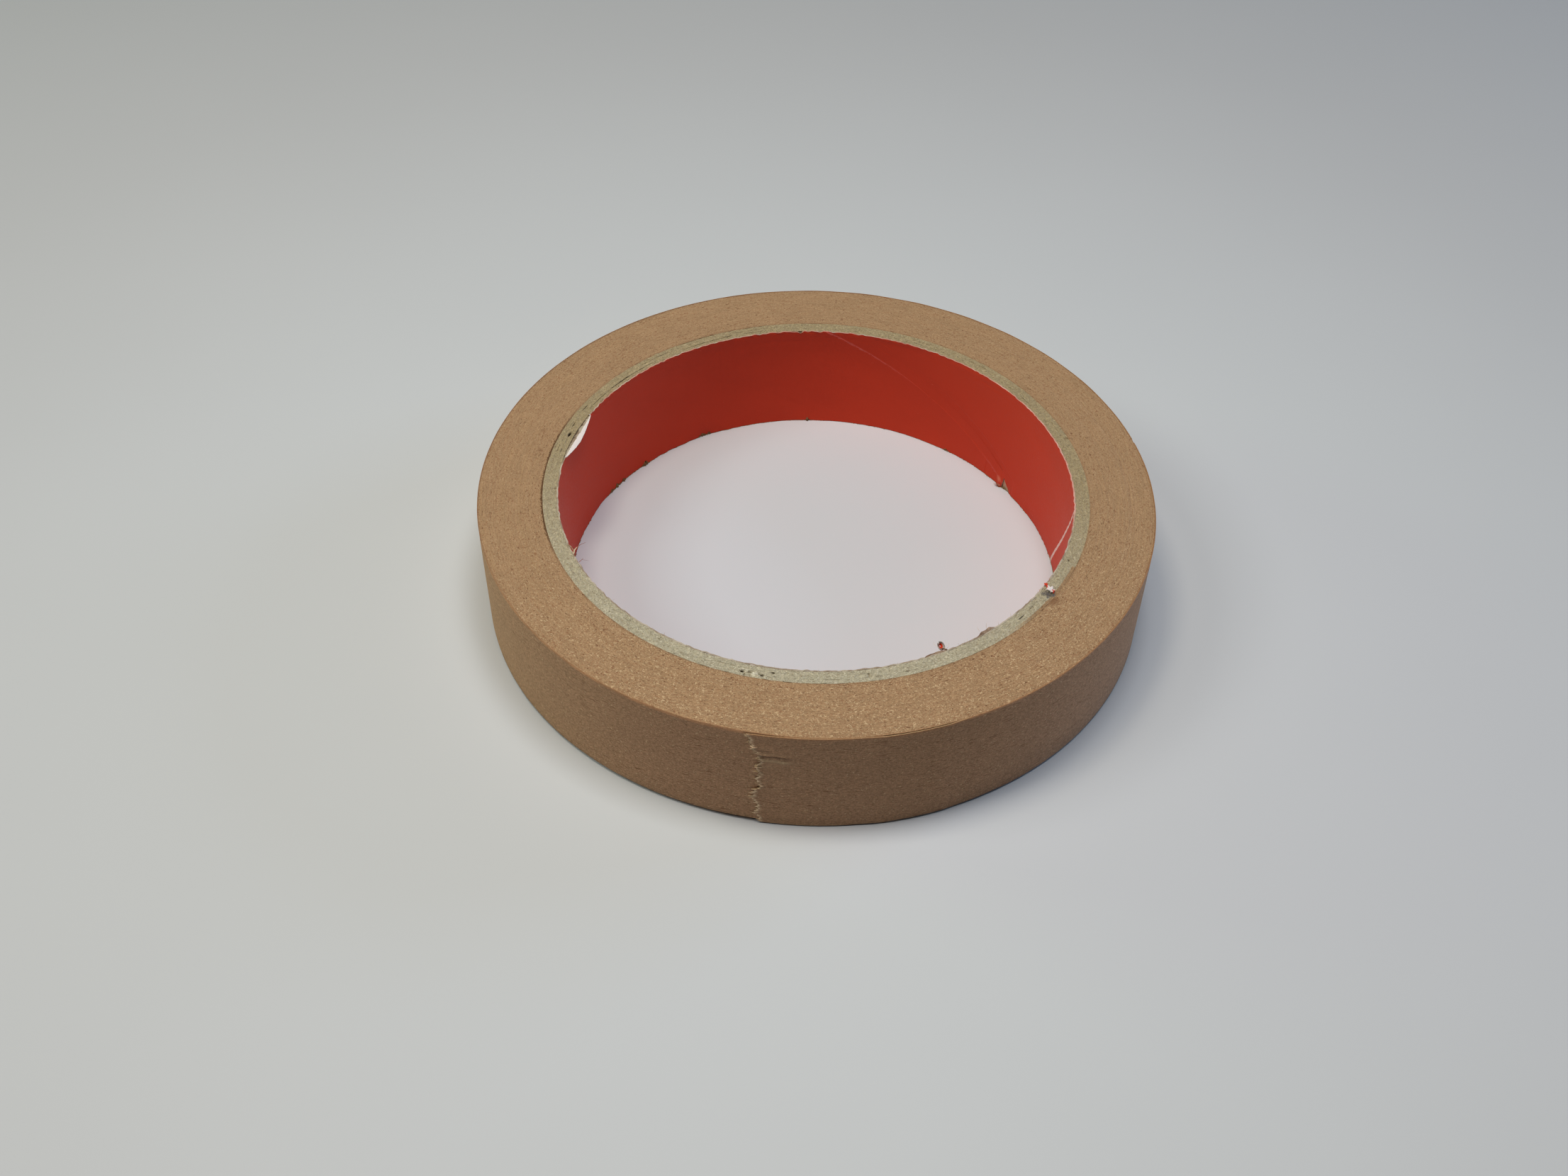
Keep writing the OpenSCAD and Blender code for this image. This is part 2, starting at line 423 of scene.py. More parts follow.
class Paint:
    """One material, whose colour is laid on step by step. Inputs of its nodes are sockets,
    numbers or colours, and masks are sockets from 0 to 1."""

    def __init__(self, name, colour, specular, mean_r=BORE_R):
        self.material = bpy.data.materials.new(name)
        self.material.use_nodes = True
        self.tree = self.material.node_tree
        self.shader = self.tree.nodes["Principled BSDF"]
        self.shader.inputs["Specular IOR Level"].default_value = specular
        self.colour = colour
        self.mean_r = mean_r

    def feed(self, socket, value):
        """Links a socket to an input, or sets the input's number or colour."""
        if isinstance(value, bpy.types.NodeSocket):
            self.tree.links.new(value, socket)
        elif socket.type == "VECTOR" and len(value) == 4:
            socket.default_value = value[:3]
        else:
            socket.default_value = value

    def node(self, kind, inputs, out=0, **settings):
        """One output of a new shader node with these inputs and settings."""
        node = self.tree.nodes.new("ShaderNode" + kind)
        for key, value in settings.items():
            setattr(node, key, value)
        for key, value in inputs.items():
            self.feed(node.inputs[key], value)
        return node.outputs[out]

    def maths(self, operation, a, b=0.0, c=0.0):
        return self.node("Math", {0: a, 1: b, 2: c}, operation=operation)

    def times(self, a, b):
        return self.maths("MULTIPLY", a, b)

    def times_add(self, a, b, c):
        return self.maths("MULTIPLY_ADD", a, b, c)

    def less(self, a, b):
        return self.maths("SUBTRACT", a, b)

    def shaken(self, value, noise, size):
        """The value, made uneven by a noise."""
        return self.times_add(self.less(noise, 0.5), size, value)

    def scaled(self, vector, factors, offset=(0, 0, 0)):
        return self.node("VectorMath", {0: vector, 1: factors, 2: offset}, operation="MULTIPLY_ADD")

    def ramp(self, value, low, high, start=0.0, end=1.0):
        """From start where the value is low, smoothly to end where it is high."""
        inputs = {0: value, 1: low, 2: high, 3: start, 4: end}
        return self.node("MapRange", inputs, interpolation_type="SMOOTHSTEP")

    def cover(self, mask, colour, blend_type="MIX"):
        """Lays a colour over the paint so far, as far as the mask says."""
        inputs = {0: mask, 6: self.colour, 7: colour}
        self.colour = self.node("Mix", inputs, 2, data_type="RGBA", blend_type=blend_type)

    def tinted(self, colour, factor, low, high):
        """The colour, from low to high times as bright as factor goes from 0 to 1."""
        level = self.times_add(factor, high - low, low)
        return self.node("VectorMath", {0: colour, 3: level}, operation="SCALE")

    def tint(self, factor, low, high):
        """Makes the paint so far from low to high times as bright."""
        self.colour = self.tinted(self.colour, factor, low, high)

    @cached_property
    def spot(self):
        """Place in the row frame, in mm."""
        return self.node("VectorMath", {0: self.node("TexCoord", {}, 3), 3: 1 / MM}, operation="SCALE")

    def split(self, vector):
        """The three numbers of a vector."""
        parts = self.tree.nodes.new("ShaderNodeSeparateXYZ")
        self.feed(parts.inputs[0], vector)
        return parts.outputs

    @cached_property
    def polar(self):
        """Place round a circle of unit radius, with the height, then radius, angle and height."""
        flat = self.scaled(self.spot, (1, 1, 0))
        radius = self.node("VectorMath", {0: flat}, 1, operation="LENGTH")
        x, y, z = self.split(self.spot)
        unit = {0: self.maths("DIVIDE", x, radius), 1: self.maths("DIVIDE", y, radius), 2: z}
        angle = self.times(self.maths("ARCTAN2", y, x), 180 / math.pi)
        return self.node("CombineXYZ", unit), radius, angle, z

    def ring(self, seed, along, across, tall=9, detail=1.0, roughness=0.5):
        """Noise round the axis, with marks of these lengths in mm along, across and up."""
        way, radius = self.polar[:2]
        vector = self.scaled(way, (self.mean_r / along, self.mean_r / along, 1 / tall))
        w = self.times_add(radius, 1 / across, 7.31 * seed)
        inputs = {"Vector": vector, "W": w, "Scale": 1.0, "Detail": detail, "Roughness": roughness}
        return self.node("TexNoise", inputs, noise_dimensions="4D")

    def strip(self, seed, along, tall, detail=1.0, roughness=0.5):
        """Noise on the tape's own surface, with marks of these lengths in mm along and across."""
        uv = self.node("UVMap", {}, uv_map="Strip")
        vector = self.scaled(uv, (1 / along, 1 / tall, 0), (0, 0, 5.17 * seed))
        inputs = {"Vector": vector, "Scale": 1.0, "Detail": detail, "Roughness": roughness}
        return self.node("TexNoise", inputs, noise_dimensions="3D")

    def mapped(self, label):
        """The two numbers of a named map."""
        return self.split(self.node("UVMap", {}, uv_map=label))[:2]

    def line_mask(self, z, at, mid, rise, half, edge):
        """1 on a straight line across the unrolled bore, that climbs at rise degrees."""
        slope = math.radians(rise)
        around = self.times(self.polar[2], math.radians(BORE_R))
        across = self.times(self.less(around, math.radians(at) * BORE_R), -math.sin(slope))
        across = self.times_add(self.less(z, mid), math.cos(slope), across)
        return self.ramp(self.maths("ABSOLUTE", across), edge, half)

    def curls(self, noise, breaks, thin):
        """Mask of short curved lines: level lines of one noise, broken up by another."""
        level = self.maths("ABSOLUTE", self.less(noise, 0.5))
        return self.times(self.ramp(level, thin, thin * 0.35), self.ramp(breaks, 0.53, 0.61))

    def toward(self, angle):
        """Cosine of the angle round the axis from each point to this angle."""
        way = (math.cos(math.radians(angle)), math.sin(math.radians(angle)), 0)
        return self.node("VectorMath", {0: self.polar[0], 1: way}, 1, operation="DOT_PRODUCT")

    def distance(self, spot):
        """Distance in mm from a place in the row frame."""
        return self.node("VectorMath", {0: self.spot, 1: spot}, 1, operation="DISTANCE")

    def near(self, angle, radius, reach, height=TALL):
        """From 1 at a place on the roll down to 0 at reach mm from it."""
        away = self.distance(tuple(place(angle, radius, height).tolist()))
        return self.ramp(away, reach, reach * 0.25)

    def fibres(self, seed, long, wide, low, high):
        """Mask of straight fibres in the plane of the cut end, that lie three ways."""
        most = None
        for k, lie in enumerate((15, 78, 137)):
            turned = self.node("VectorRotate", {0: self.spot, 3: math.radians(lie)}, rotation_type="Z_AXIS")
            vector = self.scaled(turned, (1 / long, 1 / wide, 1 / wide), (seed * 3.7 + k, 0, 0))
            noise = self.node("TexNoise", {"Vector": vector, "Scale": 1.0, "Detail": 0.5})
            mask = self.ramp(noise, low, high)
            most = mask if most is None else self.maths("MAXIMUM", most, mask)
        return most

    def finish(self, noise, low, high, relief, depth):
        """Joins colour, roughness from low to high as the noise goes, and relief, whose depth is
        in mm, to the shader."""
        self.feed(self.shader.inputs["Base Color"], self.colour)
        self.feed(self.shader.inputs["Roughness"], self.ramp(noise, 0.3, 0.7, low, high))
        inputs = {"Strength": 1.0, "Distance": depth * MM, "Height": relief}
        self.feed(self.shader.inputs["Normal"], self.node("Bump", inputs))
        return self.material


def cut_edge_paint():
    """Cut ends of the wound turns: fine grain, soft streaks, pale flecks and short dark marks, which are
    dented and painted dark as their shade.
    """
    p = Paint("tape_cut_edge", PAPER, 0.15, mean_r=45)
    grain = p.ring(1, 0.24, 0.17, detail=2.0, roughness=0.65)
    rings = p.ring(3, 14.0, 0.28, detail=2.0, roughness=0.7)
    mark = p.ring(5, 0.5, 0.17)
    p.tint(p.ramp(grain, 0.3, 0.7), 0.78, 1.22)
    p.cover(p.ramp(p.toward(-85), 0.95, 0.1, 0.0, 0.42), PAPER)
    p.tint(p.ramp(p.ring(7, 2.2, 0.24), 0.3, 0.7), 0.94, 1.06)
    p.tint(p.ring(2, 6.0, 2.4), 0.93, 1.07)
    p.tint(rings, 0.92, 1.08)
    p.cover(p.ramp(p.ring(8, 0.42, 0.17), 0.60, 0.68, 0.0, 0.58), PAPER_RUST)
    raised = p.ramp(p.toward(-85), 0.0, 0.9, 0.25, 0.85)
    light = cut_edge_flecks(p, raised)
    # Short dark marks, dented in the relief and painted dark as their shade, more of them near the core and
    # on the front
    close = p.ramp(p.polar[1], CORE_R + 4.0, CORE_R + 1.0, 0.0, 0.03)
    close = p.times_add(raised, 0.03, close)
    deep = p.ramp(p.maths("ADD", mark, close), 0.68, 0.75, 0.0, 0.8)
    p.cover(deep, PAPER_DARK)
    cut_edge_borders(p, mark)
    relief = p.times_add(light, 0.4, p.times(grain, 0.8))
    relief = p.times_add(rings, 0.4, p.less(relief, deep))
    return p.finish(grain, 0.98, 0.82, relief, 0.05)


def cut_edge_flecks(p, raised):
    """Curved fibres, dark and pale, and pale flecks in broad rings. Returns the flecks' mask."""
    curve, breaks = p.ring(9, 0.55, 0.45), p.ring(10, 0.42, 0.34)
    p.cover(p.times(p.curls(curve, p.less(1.0, breaks), 0.05), 0.5), PAPER_RUST)
    p.cover(p.times(p.times(p.curls(curve, breaks, 0.042), 0.65), raised), PAPER_LIGHT)
    level = p.ramp(p.ring(6, 12.0, 1.3), 0.35, 0.65, 0.70, 0.62)
    light = p.times(p.ramp(p.less(p.ring(4, 0.22, 0.17), level), 0.0, 0.05, 0.0, 0.9), raised)
    p.cover(light, PAPER_LIGHT)
    return light


def cut_edge_borders(p, mark):
    """Rusty outer rim, painted shade in the gap along the core, strongest on the left, and smudges."""
    p.cover(p.ramp(p.polar[1], ROLL_R - 0.3, ROLL_R - 0.12, 0.0, 0.55), PAPER_RIM)
    # Painted shade in the gap between the winding and the core, strongest on the left
    inner = p.ramp(p.shaken(p.polar[1], mark, 0.8), CORE_R + 0.34, CORE_R + 0.16)
    left = p.ramp(p.toward(181), 0.90, 0.97, 0.16, 0.9)
    p.cover(p.times(inner, left), PAPER_GAP_SHADE)
    for angle, radius, reach, size in TAPE_SMUDGES:
        p.cover(p.times(p.near(angle, radius, reach), size), PAPER_DARK)


def tape_face_paint(torn=False):
    """Outer face of the crepe paper: short level dashes, specks, a painted highlight along the upper
    edge, paler along the lower edge, and painted shade in its wrinkles. Where it is torn, pale fibres show
    along the edge."""
    p = Paint("tape_torn_face" if torn else "tape_crepe_face", FACE, 0.15)
    height_at = p.mapped("Strip")[1]
    dash = p.strip(1, 0.5, 0.18, 2.0)
    fine = p.strip(2, 0.22, 0.19, 2.0, 0.65)
    broad = p.strip(3, 9.0, 5.0)
    p.tint(p.ramp(dash, 0.25, 0.75), 0.85, 1.15)
    p.tint(p.ramp(fine, 0.25, 0.75), 0.76, 1.24)
    p.tint(broad, 0.93, 1.07)
    p.cover(p.ramp(p.strip(4, 0.3, 0.26), 0.66, 0.74, 0.0, 0.65), PAPER_LIGHT)
    p.cover(p.ramp(dash, 0.34, 0.24, 0.0, 0.5), PAPER_DARK)
    # Painted highlight, orange, along the wall's upper edge
    p.cover(p.ramp(height_at, TALL - 0.5, TALL - 0.1, 0.0, 0.4), FACE_RIM_HIGHLIGHT)
    p.cover(p.ramp(height_at, 0.5, 0.2, 0.0, 0.25), PAPER_LIGHT)
    # Dark lines of painted shade in the crepe's wrinkles
    wrinkle_shade = p.ramp(p.strip(13, 1.8, 0.16), 0.39, 0.30)
    p.cover(p.times(wrinkle_shade, p.ramp(broad, 0.44, 0.60, 0.06, 0.62)), PAPER_DARK)
    relief = p.times_add(dash, 0.7, p.times(fine, 0.6))
    relief = p.times_add(p.strip(5, 5.0, 0.6), 0.5, relief)
    if torn:
        relief = torn_border(p, relief)
    else:
        # Painted shadows of the gaps under the torn edge
        for angle, z, reach in TORN_GAP_SHADOWS:
            p.cover(p.times(p.near(angle, ROLL_R, reach, z), 0.85), TORN_GAP_SHADE)
    return p.finish(dash, 0.9, 0.75, relief, 0.06)


def torn_border(p, relief):
    """Pale fibres along the tear, and painted shade on the creases' dark sides and painted highlight on
    their lit sides.
    Returns the relief with the fibres."""
    fray = p.strip(7, 0.5, 0.16, 2.0, 0.6)
    from_tear, fold = p.mapped("Tear")
    away = p.shaken(from_tear, fray, 0.7)
    p.cover(p.ramp(away, 0.8, 0.3, 0.0, 0.3), FIBRE_PALE)
    p.cover(p.ramp(away, 0.40, 0.12), FIBRE_PALE)
    # Painted shade on the creases' dark sides, and painted highlight where the number is below 0
    p.cover(p.times(fold, 0.95), CREASE_SHADE)
    p.cover(p.times(fold, -0.7), PAPER_LIGHT)
    return p.times_add(fray, p.ramp(away, 0.8, 0.2), relief)


def torn_paint():
    """Fibres that stand out of the torn edge."""
    p = Paint("tape_torn_fibres", FIBRE_PALE, 0.2)
    fine = p.strip(7, 0.2, 0.06, 2.0, 0.6)
    p.cover(p.ramp(p.strip(8, 0.8, 0.5), 0.35, 0.65), FIBRE_TAN)
    p.tint(fine, 0.8, 1.2)
    return p.finish(fine, 0.95, 0.8, fine, 0.05)


def adhesive_paint():
    """Adhesive on the tape's back: paler than the paper, with a little shine."""
    p = Paint("tape_adhesive", GLUE, 0.5)
    p.shader.inputs["Coat Weight"].default_value = 0.25
    p.shader.inputs["Coat Roughness"].default_value = 0.3
    blotch = p.strip(11, 3.0, 1.6, 2.0)
    fine = p.strip(12, 0.4, 0.3, 2.0, 0.6)
    p.cover(p.ramp(blotch, 0.3, 0.7), GLUE_DARK)
    p.tint(fine, 0.93, 1.07)
    relief = p.times_add(blotch, 0.5, p.times(fine, 0.5))
    return p.finish(blotch, 0.32, 0.5, relief, 0.04)


def board_paint(name="core_grey_board", base=BOARD):
    """Grey board of the core: felted fibres, with painted bright glints, and painted shade where it is
    pitted and towards the back.
    """
    p = Paint(name, base, 0.2, mean_r=39.5)
    felt = p.fibres(21, 0.6, 0.12, 0.55, 0.66)
    under = p.fibres(27, 0.5, 0.15, 0.57, 0.70)
    grain = p.ring(22, 0.28, 0.21, 0.4, 2.0, 0.6)
    # Pits, dented in the relief and painted dark as their shade
    deep = p.ramp(p.ring(25, 0.34, 0.14, 0.5), 0.69, 0.77, 0.0, 0.8)
    # Painted shade: the board darker and browner towards the back
    p.cover(p.ramp(p.toward(-97), 0.95, -0.25), BOARD_BACK_SHADE, "MULTIPLY")
    p.tint(p.ramp(grain, 0.25, 0.75), 0.88, 1.12)
    p.tint(p.ring(23, 5.0, 1.5, 4), 0.92, 1.08)
    p.tint(under, 1.01, 0.88)
    p.tint(felt, 0.97, 1.18)
    board_glints(p)
    # The board in the notch painted pink, as light bounced off the red liner
    shown = p.times(p.near(*NOTCH_BOARD), p.ramp(p.polar[3], 0.25, 0.5, 0.0, 0.8))
    p.cover(shown, BOARD_RED_BOUNCE)
    board_marks(p, grain, deep)
    relief = p.times_add(felt, 0.5, p.times(grain, 0.6))
    relief = p.less(relief, p.times_add(under, 0.4, deep))
    return p.finish(grain, 0.95, 0.78, relief, 0.08)


def board_glints(p):
    """Painted glints of light and pale curved fibres, most on the far side of the light, and rusty ones."""
    curve, breaks = p.ring(28, 0.60, 0.42, 0.6), p.ring(29, 0.40, 0.34, 0.6)
    raised = p.ramp(p.toward(-90), 0.95, 0.0, 0.55, 0.12)
    # Painted glints of light
    glint = p.ramp(p.ring(24, 0.26, 0.16, 0.5), 0.64, 0.72)
    lit = p.maths("MAXIMUM", glint, p.times(p.curls(curve, breaks, 0.04), 0.7))
    p.cover(p.times(lit, raised), BOARD_LIGHT)
    p.cover(p.times(p.curls(curve, p.less(1.0, breaks), 0.045), 0.45), BOARD_RUST)


def board_marks(p, grain, deep):
    """Lifted fibres, painted shade in pits and in hollows below the top, the bulge of the winding over the
    outer edge, and soot.
    """
    for angle, radius, reach in FELT_LIFTS:
        lifted = p.times(p.near(angle, radius, reach), p.ramp(grain, 0.35, 0.6, 0.2, 0.9))
        p.cover(lifted, BOARD_LIGHT)
    z = p.polar[3]
    # Painted shade on what lies a little below the top, in hollows and slits, darkest deepest down
    sunk_shade = p.ramp(z, TALL - 0.13, TALL - 0.30, 0.0, 0.9)
    sunk_shade = p.times(sunk_shade, p.ramp(z, TALL - 3.0, TALL - 1.5))
    p.cover(p.maths("MAXIMUM", deep, sunk_shade), BOARD_SHADE)
    p.cover(p.times(sunk_shade, p.ramp(z, TALL - 0.28, TALL - 0.5)), BOARD_DEEP_SHADE)
    start, full, fading, end, over = CORE_OVERLAP
    along = p.times(p.ramp(p.polar[2], start, full), p.ramp(p.polar[2], end, fading))
    edge = p.ramp(p.shaken(p.polar[1], grain, 0.5), CORE_R - over - 0.04, CORE_R - over + 0.04)
    p.cover(p.times(along, edge), p.tinted(PAPER, p.ramp(grain, 0.3, 0.7), 0.8, 1.15))
    soot = 0
    for angle, radius, reach in SOOT:
        soot = p.maths("MAXIMUM", soot, p.near(angle, radius, reach))
    p.cover(p.times(soot, p.ramp(grain, 0.35, 0.55, 0.45, 1.0)), SOOT_GREY)


def liner_paint():
    """Printed face of the liner: satin red, a pale seam, a painted highlight beside the notch and one pale
    printed stripe.
    """
    p = Paint("liner_red_print", RED, 0.15)
    z = p.polar[3]
    fine = p.ring(31, 0.25, 1.0, 0.25, 2.0, 0.6)
    broad = p.ring(32, 12.0, 4.0, 6.0)
    scuff = p.ring(33, 0.5, 1.0, 0.35)
    p.tint(fine, 0.95, 1.05)
    p.tint(broad, 0.95, 1.05)
    seam = p.line_mask(p.shaken(z, scuff, 0.5), SEAM_AT, TALL / 2, SEAM_RISE, 0.06, 0.24)
    fade = p.maths("MAXIMUM", p.ramp(z, 9.0, 17.0, 0.0, 0.5), p.ramp(z, 4.5, 2.0, 0.0, 0.3))
    fade = p.times(fade, p.ramp(scuff, 0.3, 0.6, 0.4, 1.0))
    p.cover(p.times(seam, fade), SEAM_PINK)
    # Painted highlight where the print bulges beside the notch
    p.cover(p.ramp(p.distance(NOTCH_HIGHLIGHT), 0.8, 0.1, 0.0, 0.5), HIGHLIGHT_PINK)
    at, mid, half, edge = STRIPE
    p.cover(p.times(p.line_mask(z, at, mid, SEAM_RISE - 90, half, edge), 0.9), STRIPE_PINK)
    p.cover(p.ramp(scuff, 0.76, 0.82, 0.0, 0.25), RUB_PINK)
    relief = p.maths("ADD", fine, p.times(broad, 2.0))
    return p.finish(fine, 0.48, 0.58, relief, 0.02)


def liner_back_paint():
    """White back and torn parts of the liner paper, a little grimy."""
    p = Paint("liner_white_paper", WHITE, 0.2)
    fine = p.ring(41, 0.3, 0.3, 0.3, 2.0, 0.6)
    p.cover(p.ramp(p.ring(42, 1.3, 2.0, 2.0), 0.55, 0.75, 0.0, 0.25), WHITE_SOILED)
    p.tint(fine, 0.9, 1.08)
    return p.finish(fine, 0.85, 0.7, fine, 0.04)


def liner_edge_paint():
    """Cut edge of the liner: soiled like the board, reddish along the right of the front, with painted
    shade where it lies a little below the top.
    """
    p = Paint("liner_cut_edge", EDGE_PALE, 0.2)
    z = p.polar[3]
    fine = p.ring(45, 0.4, 0.3, 0.3, 2.0, 0.6)
    patch = p.ring(46, 1.6, 2.0, 2.0, 2.0)
    p.cover(p.ramp(patch, 0.4, 0.6), EDGE_TAN)
    right = p.ramp(p.toward(18), 0.80, 0.95)
    p.cover(p.times(right, p.ramp(patch, 0.6, 0.45, 0.2, 0.9)), EDGE_PINK)
    far = p.times(p.ramp(p.toward(70), -0.05, 0.35), p.ramp(patch, 0.3, 0.6))
    p.cover(p.times(far, 0.8), EDGE_ROSE)
    # Painted shade where the edge lies a little below the top
    sunk_shade = p.times(p.ramp(z, TALL - 0.18, TALL - 0.28), p.ramp(z, TALL - 3.0, TALL - 2.0))
    p.cover(p.times(sunk_shade, 0.7), EDGE_SHADE)
    p.tint(fine, 0.75, 1.2)
    return p.finish(fine, 0.9, 0.75, fine, 0.05)


def scrap_paint(kind):
    """Loose fibres and scraps of paper: uneven, matt, from pale to dark."""
    pale, dark = SCRAPS[kind]
    p = Paint(f"scrap_{kind}", pale, 0.15)
    fine = p.ring(51, 0.15, 0.15, 0.15, 2.0, 0.6)
    p.cover(p.ramp(p.ring(52, 0.7, 0.7, 0.7), 0.35, 0.65), dark)
    p.tint(fine, 0.8, 1.2)
    return p.finish(fine, 0.98, 0.85, fine, 0.05)


# ---- wound tape


def low_rim(angle):
    """Height of the lower edge of the tape's last turn."""
    return LOW_RIM + ring_noise(angle, 21, 3, 40, 0.025)


def top_rim(angle):
    """Height of the upper edge of the tape's last turn."""
    return TALL + TOP_RIM + ring_noise(angle, 22, 3, 40, 0.012)


def wound_radius(turn):
    """Outer radius of the winding, this many turns in."""
    return WOUND_R - TAPE_T * turn


def unevenness(steps, seed):
    """How far the tape's edge stands out of a cut end at these steps of the winding."""
    turn = steps / STEPS
    radius = wound_radius(turn)
    slow = line_noise(len(steps), 40, seed) * 0.006
    levels = np.random.default_rng(seed + 1).normal(0, 0.010, TURNS + 3)
    per_turn = np.interp(turn, np.arange(levels.size), levels)
    angle = np.radians(BEND_AT + turn * 360)
    swell = 0.015 * np.sin(radius * 2.1) + 0.012 * np.cos(angle * 2 + radius)
    return slow + per_turn + swell


def top_end(steps, deep):
    """Height of the winding's upper cut end at these steps, this far below the roll's top."""
    return TALL - deep + unevenness(steps, 5)


def low_end(steps, deep):
    """Height of its lower cut end there, this far above the floor, and higher at the rim."""
    lift = 0.36 * step(wound_radius(steps / STEPS), ROLL_R - 2.4, ROLL_R - 0.3)
    return deep - unevenness(steps, 9) + lift


def spiral_sheet(end):
    """One cut end of the winding, each turn of it a groove and a ridge. Returns points, faces
    and the numbers of the outer and inner border points."""
    steps = np.arange((TURNS + 1) * STEPS + 1)
    groove = place(BEND_AT + steps * 360 / STEPS, wound_radius(steps / STEPS), end(steps, 0.055))
    steps = np.arange(TURNS * STEPS + 1)
    ridge = place(BEND_AT + steps * 360 / STEPS, wound_radius(steps / STEPS + 0.5), end(steps, 0.03))
    first, k = len(groove), steps[:-1]
    outer_half = np.stack([k, k + 1, first + k + 1, first + k], -1)
    inner_half = np.stack([first + k, first + k + 1, k + STEPS + 1, k + STEPS], -1)
    faces = np.concatenate([outer_half, inner_half])
    border = np.arange(STEPS + 1)
    return np.concatenate([groove, ridge]), faces, border, border + TURNS * STEPS


def tape_turns(paint):
    """Every turn of the winding below the last one: a true spiral on both cut ends."""
    top, top_faces, top_out, top_in = spiral_sheet(top_end)
    low, low_faces, low_out, low_in = spiral_sheet(low_end)
    low_faces, low_out, low_in = (x + len(top) for x in (low_faces, low_out, low_in))
    angle = BEND_AT + np.arange(STEPS) * 360 / STEPS
    dip = 0.05 + 0.03 * np.abs(ring_noise(angle, 15, 60, 200, 1.0))
    bore = [place(angle, WOUND_BORE, z) for z in (TALL - dip, TALL / 2, dip)]
    row = len(top) + len(low) + np.arange(STEPS + 1) % STEPS
    inside = quads(np.stack([top_in, row, row + STEPS, row + 2 * STEPS, low_in]))
    outside = quads(np.stack([top_out, low_out]))
    start = [[top_out[0], top_out[-1], low_out[-1], low_out[0]]]
    faces = np.concatenate([top_faces, low_faces, outside, inside, start])
    piece = build("tape_turns", np.concatenate([top, low, *bore]), faces, [paint], crease=60)
    settle(piece, "roll", "tape_crepe", "tape_pack")


def turn_radius(angle):
    """Outer radius of the last full turn, which drops by one tape thickness on its way."""
    return ROLL_R - TAPE_T * (angle - BEND_AT) / 360


def turn_lift(angle):
    """How far the last turn has crept up, most where it passes under the torn edge."""
    under = 360 + TEAR_AT
    return step(angle, 360 - 172, under) * step(angle, under + 9, under + 1.5)


def outer_turn_section(angle):
    """Cross-sections of the last full turn: points up its outer face, then down its inner one."""
    outer = turn_radius(angle)
    inner = outer - TAPE_T + 0.01
    creep = turn_lift(angle)
    low = low_rim(angle) + 0.22 * creep
    high = top_rim(angle) + 0.15 * creep - 0.25 * swelling(angle, 13, 0.35)
    level = low[:, None] + 0.03 + (high - low - 0.06)[:, None] * np.linspace(0, 1, TURN_ROWS)
    relief = grid_noise(level.shape, (6, 0.7), 23) * 0.008
    relief += grid_noise(level.shape, (25, 4), 24) * 0.01
    relief *= np.minimum(1, (angle - BEND_AT)[:, None] / 2)
    outside = place(angle[:, None], outer[:, None] + relief, level)
    inside = [
        (outer - 0.03, high), (inner + 0.03, high), (inner, high - 0.04),
        (inner, low + 0.04), (inner + 0.03, low), (outer - 0.03, low),
    ]
    inside = np.stack([place(angle, radius, z) for radius, z in inside], 1)
    return np.concatenate([outside, inside], 1)


def outer_turn(face, edge):
    """Last full turn, from the bend round to where it runs on into the winding."""
    angle = np.linspace(BEND_AT, BEND_AT + 360 - 0.12, 900)
    section = outer_turn_section(angle)
    index = numbered(section)
    faces = quads(index, (False, True))
    slots = (np.arange(len(faces)) % index.shape[1] >= TURN_ROWS - 1).astype(int)
    along = np.radians(angle - BEND_AT) * ROLL_R
    strip = np.stack(np.broadcast_arrays(along[:, None], section[..., 2]), -1)
    faces = faces.tolist() + [index[0].tolist(), index[-1][::-1].tolist()]
    slots = slots.tolist() + [1, 1]
    piece = build("outer_turn_crepe", section, faces, [face, edge], slots, {"Strip": strip})
    settle(piece, "roll", "tape_crepe", "outer_turn")


# ---- loose end


def torn_line(height):
    """Distance in mm of the torn edge from the longest tip, at these heights: the line of the
    tear with sharp teeth on it."""
    edge = np.interp(height, *np.array(TEAR_LINE).T) + line_noise(height.size, 2.0, 32) * 0.05
    rng = np.random.default_rng(31)
    teeth = np.zeros(height.size)
    for count, low, wide in TEETH:
        for _ in range(count):
            size = 0.15 + 0.62 * rng.random() ** 1.8
            half = rng.uniform(0.08, wide)
            at = rng.uniform(low, TALL)
            skew = rng.uniform(-0.7, 0.7) * half
            side = np.where(height > at + skew, half - skew, half + skew)
            across = np.abs(height - at - skew) / side
            teeth = np.maximum(teeth, size * np.clip(1 - across, 0, 1) ** 1.2)
    return np.maximum(edge - teeth, -0.35) + 0.25


